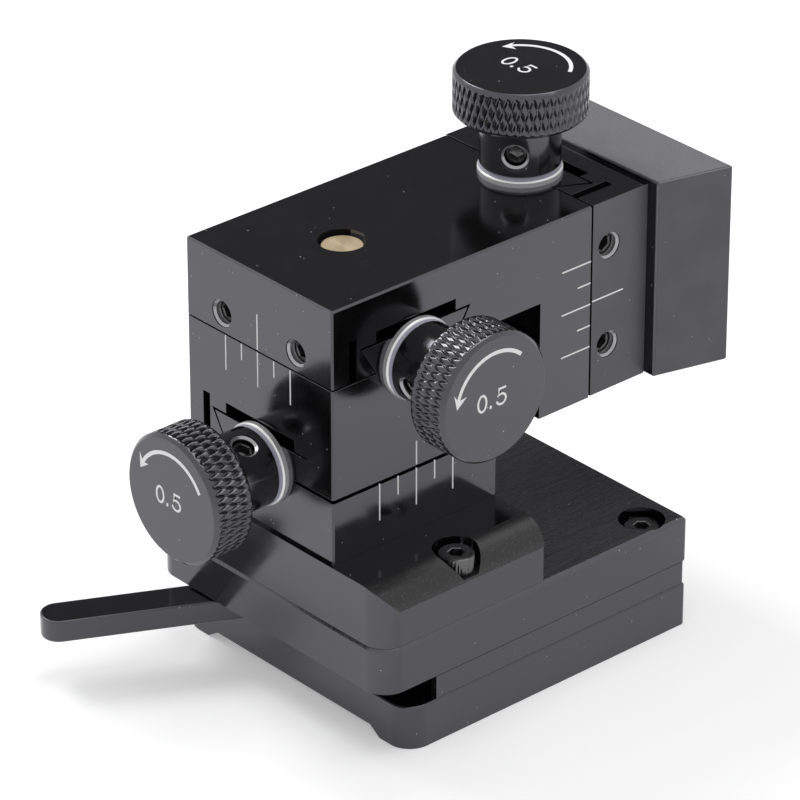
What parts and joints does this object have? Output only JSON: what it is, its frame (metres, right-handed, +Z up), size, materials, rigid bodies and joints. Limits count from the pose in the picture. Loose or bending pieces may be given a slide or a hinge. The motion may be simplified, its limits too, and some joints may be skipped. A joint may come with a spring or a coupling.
{
  "type": "probe positioner",
  "caption": "Three-axis probe positioner: stacked dovetail slides with knurled drive knobs and an arm block, on a flat base whose magnets a side lever switches.",
  "frame": {"origin": "centre of the base's underside, on the surface it stands on and on the lever's axis", "axes": "+Z up; +X along the base towards the arm block; -Y towards the knob of the cross slide, the near side in the picture"},
  "size_m": [0.0681, 0.0415, 0.0606],
  "materials": {
    "gloss_anodised": "glossy black anodised",
    "brushed_anodised": "fine brushed black anodised",
    "blasted_anodised": "bead-blasted black anodised",
    "knob_anodised": "black anodised with a diamond knurl",
    "black_steel": "black oxide",
    "stainless": "ground stainless steel",
    "pole_steel": "ground mild steel",
    "nickel": "nickel plated",
    "brass": "turned brass",
    "nylon": "natural nylon"
  },
  "bodies": {
    "base": {"bottom_plate": "gloss_anodised", "spacer_plate": "gloss_anodised", "top_plate": "brushed_anodised", "stage_foot": "gloss_anodised", "lower_block": "gloss_anodised", "lever_pivot": "stainless", "pole_pins": "pole_steel", "base_screws": "black_steel", "foot_screws": "black_steel", "lower_block_screws": "black_steel", "x_bush": "stainless", "x_washer": "nylon"},
    "lever": {"switch_lever": "gloss_anodised", "lever_magnets": "nickel"},
    "x_knob_body": {"x_knob": "knob_anodised", "x_lead_screw": "stainless", "x_knob_set_screw": "black_steel"},
    "x_carriage": {"middle_block": "gloss_anodised", "x_nut": "brass", "x_gib_screws": "black_steel", "y_bush": "stainless", "y_washer": "nylon"},
    "y_knob_body": {"y_knob": "knob_anodised", "y_lead_screw": "stainless", "y_knob_set_screw": "black_steel"},
    "y_carriage": {"top_block": "gloss_anodised", "y_nut": "brass", "y_gib_screws": "black_steel", "z_bush": "stainless", "z_washer": "nylon"},
    "z_knob_body": {"z_knob": "knob_anodised", "z_lead_screw": "stainless", "z_knob_set_screw": "black_steel"},
    "z_carriage": {"upright_slide": "gloss_anodised", "z_nut": "brass", "z_gib_screws": "black_steel", "arm_block": "blasted_anodised", "arm_screws": "black_steel"}
  },
  "joints": [
    {"name": "lever_switch", "type": "hinge", "parent": "base", "child": "lever", "pos_m": [0, 0, 0.0064], "axis": [0, 0, 1], "range_deg": [0, 72]},
    {"name": "x_knob_turn", "type": "hinge", "parent": "base", "child": "x_knob_body", "pos_m": [-0.0209, 0.00145, 0.0272], "axis": [-1, 0, 0], "range_deg": [-3600, 3600]},
    {"name": "x_slide", "type": "slide", "parent": "base", "child": "x_carriage", "axis": [-1, 0, 0], "range_m": [-0.005, 0.005]},
    {"name": "y_knob_turn", "type": "hinge", "parent": "x_carriage", "child": "y_knob_body", "pos_m": [-0.0097, -0.00985, 0.03995], "axis": [0, -1, 0], "range_deg": [-3600, 3600]},
    {"name": "y_slide", "type": "slide", "parent": "x_carriage", "child": "y_carriage", "axis": [0, -1, 0], "range_m": [-0.005, 0.005]},
    {"name": "z_knob_turn", "type": "hinge", "parent": "y_carriage", "child": "z_knob_body", "pos_m": [0.01485, 0.00145, 0.04885], "axis": [0, 0, 1], "range_deg": [-3600, 3600]},
    {"name": "z_slide", "type": "slide", "parent": "y_carriage", "child": "z_carriage", "axis": [0, 0, 1], "range_m": [-0.005, 0.005]}
  ],
  "couplings": [
    {"joint": "x_knob_turn", "follows": "x_slide", "rad_per_m": 12566},
    {"joint": "y_knob_turn", "follows": "y_slide", "rad_per_m": 12566},
    {"joint": "z_knob_turn", "follows": "z_slide", "rad_per_m": 12566}
  ]
}
